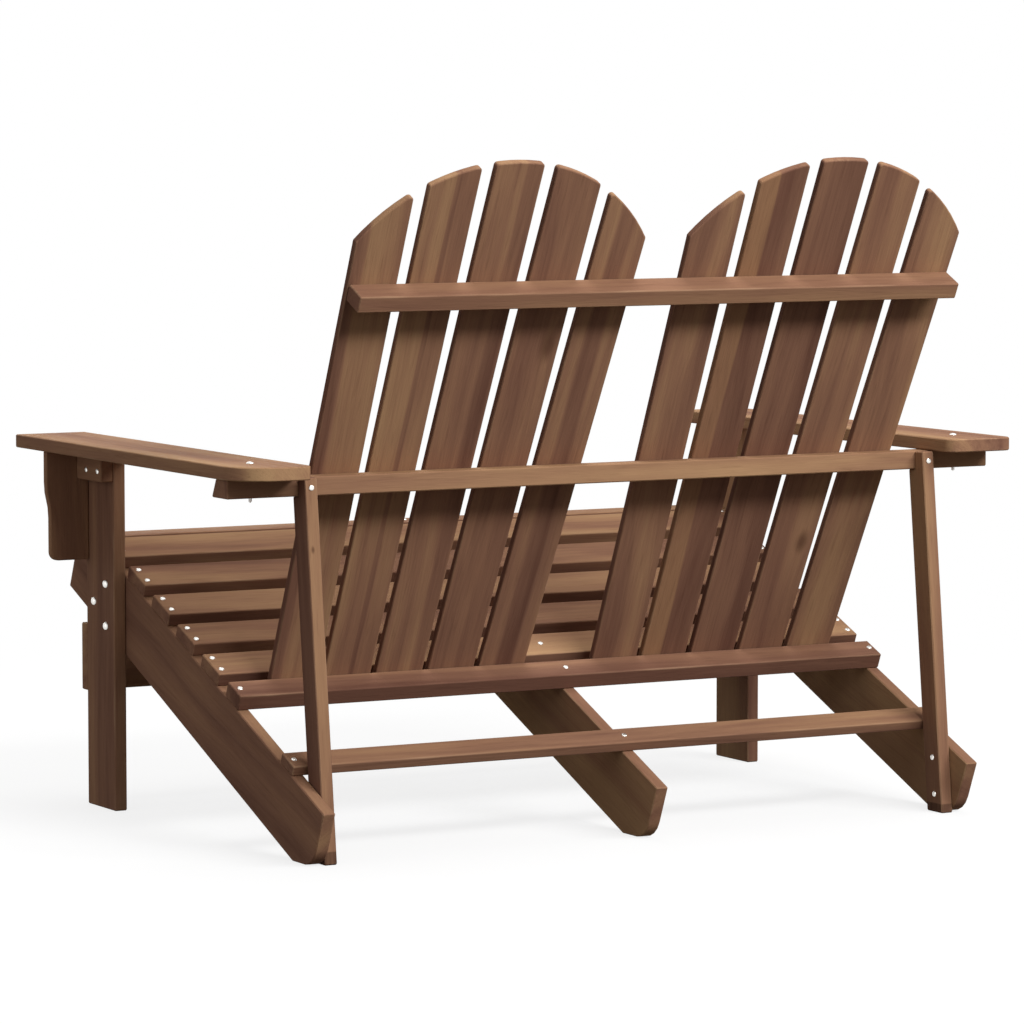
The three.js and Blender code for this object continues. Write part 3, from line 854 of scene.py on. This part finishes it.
def finish_fasteners(name, mesh, replaced=None):
    """Makes a piece of the fasteners in a bmesh, riding on the frame."""
    data = bpy.data.meshes.new(name)
    mesh.to_mesh(data)
    mesh.free()
    data.materials.append(steel)
    piece = bpy.data.objects.new(name, data)
    link(piece)
    crease = piece.modifiers.new("crease", "EDGE_SPLIT")
    crease.split_angle = CREASE_ANGLE
    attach(piece, "root")
    if replaced:
        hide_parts(replaced)


def head_direction(name):
    """Where the head of one of the CAD's fasteners looks."""
    side = Vector((1 if "_left" in name else -1, 0, 0))
    if name.startswith("arm_bolt"):
        return Vector((0, 0, 1))
    if name.startswith("post_top_screw"):
        return -frames[name.replace("post_top_screw", "rear_post")].axes[1]
    if name.startswith("apron_screw"):
        return Vector((0, -1, 0))
    return -side if name.startswith("post_screw") else side


def dress_fastener(name):
    """Replaces a CAD bolt or screw with a finer one of the same size in the same place."""
    fastener = Fastener(name, head_direction(name))
    mesh = bmesh.new()
    threads = ARM_BOLT_THREADS if name.startswith("arm_bolt") else 0
    fastener.add_to(mesh, fastener.seat, fastener.outward, cross="screw" in name, threads=threads)
    finish_fasteners(f"{name}_fine", mesh, name)


for name in sorted(set(nodes) - set(looks)):
    dress_fastener(name)


def add_screws(name, places, outward):
    """Puts small screws on a board, at places in its own frame."""
    model = "cleat_screw_left_1"
    screw = Fastener(model, head_direction(model), shank=SCREW_STUB)
    mesh = bmesh.new()
    for place in places:
        screw.add_to(mesh, frames[name].world(place), outward)
    finish_fasteners(f"{name}_screws", mesh)


def screw_slats_down():
    """Each seat slat has two screws on each outer stringer and one on the middle one. The two
    rails behind have one screw on each stringer."""
    outer = [sum(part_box(f"stringer_{side}"), Vector()).x / 2 for side in SIDES]
    slats = ["seat_slat_front"] + [f"seat_slat_{i}" for i in range(1, SLAT_COUNT + 1)]
    for name in slats:
        own = frames[name]
        half_spread = SLAT_SCREW_SPREAD / 2
        ahead = FIRST_SLAT_SCREW_SHIFT if name == "seat_slat_1" else 0.0
        places = [(x, y - ahead, own.half.z) for x in outer for y in (-half_spread, half_spread)]
        places.append((0, 0, own.half.z))
        add_screws(name, places, own.axes[2])
    for name in ("rear_seat_rail", "rear_stretcher"):
        own = frames[name]
        add_screws(name, [(x, 0, own.half.z) for x in (*outer, 0)], own.axes[2])


def screw_back_on():
    """Each back slat has a screw on its front face at each of the three rails behind it."""
    for name in (f"back_slat_{side}_{i}" for side in SIDES for i in range(1, SLAT_COUNT + 1)):
        own = frames[name]
        heights = [SLAT_SCREW_RISE - own.half.x]
        for rail in ("arm_rail", "upper_back_rail"):
            rail_middle = sum(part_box(rail), Vector()) / 2
            heights.append(own.inside(Vector((own.world((0, 0, 0)).x, *rail_middle.yz))).x)
        add_screws(name, [(height, 0, -own.half.z) for height in heights], -own.axes[2])


screw_slats_down()
screw_back_on()


# Floor and world
def make_floor():
    """White where it is seen, with a pale shadow near the seat. It throws little light back."""
    material, g = new_material("floor")
    white = g.node("ShaderNodeEmission")
    white.inputs["Color"].default_value = WHITE
    catcher = g.node("ShaderNodeBsdfDiffuse")
    catcher.inputs["Color"].default_value = WHITE
    bounce = g.node("ShaderNodeBsdfDiffuse")
    bounce.inputs["Color"].default_value = linear(FLOOR_BOUNCE)
    away = g.vector("LENGTH", g.node("ShaderNodeTexCoord").outputs["Object"])
    inner_reach = FLOOR_SHADOW_REACH / 2
    near = g.stretch(away, FLOOR_SHADOW_REACH, inner_reach, 0.0, FLOOR_SHADOW_SHARE, smooth=True)
    shown = mix_shaders(g, near, white, catcher)
    finish_surface(g, mix_shaders(g, g.seen_straight(), bounce, shown))

    data = bpy.data.meshes.new("floor")
    corners = [(x * FLOOR_HALF, y * FLOOR_HALF, 0) for x, y in ((-1, -1), (1, -1), (1, 1), (-1, 1))]
    data.from_pydata(corners, [], [(0, 1, 2, 3)])
    data.materials.append(material)
    floor = bpy.data.objects.new("floor", data)
    link(floor)


def mix_shaders(graph, share, first, second):
    mixed = graph.node("ShaderNodeMixShader")
    graph.feed(mixed.inputs[0], share)
    graph.feed(mixed.inputs[1], first.outputs[0])
    graph.feed(mixed.inputs[2], second.outputs[0])
    return mixed


def make_world():
    world = bpy.data.worlds.new("world")
    bpy.context.scene.world = world
    world.use_nodes = True
    g = Graph(world.node_tree)
    g.tree.nodes.clear()
    sky = g.node("ShaderNodeBackground")
    sky.inputs["Color"].default_value = WHITE
    g.feed(sky.inputs["Strength"], g.stretch(g.seen_straight(), 0.0, 1.0, SKY_STRENGTH, 1.0))
    finish_surface(g, sky, "ShaderNodeOutputWorld")


make_floor()
make_world()
bpy.context.scene.view_settings.view_transform = "Standard"
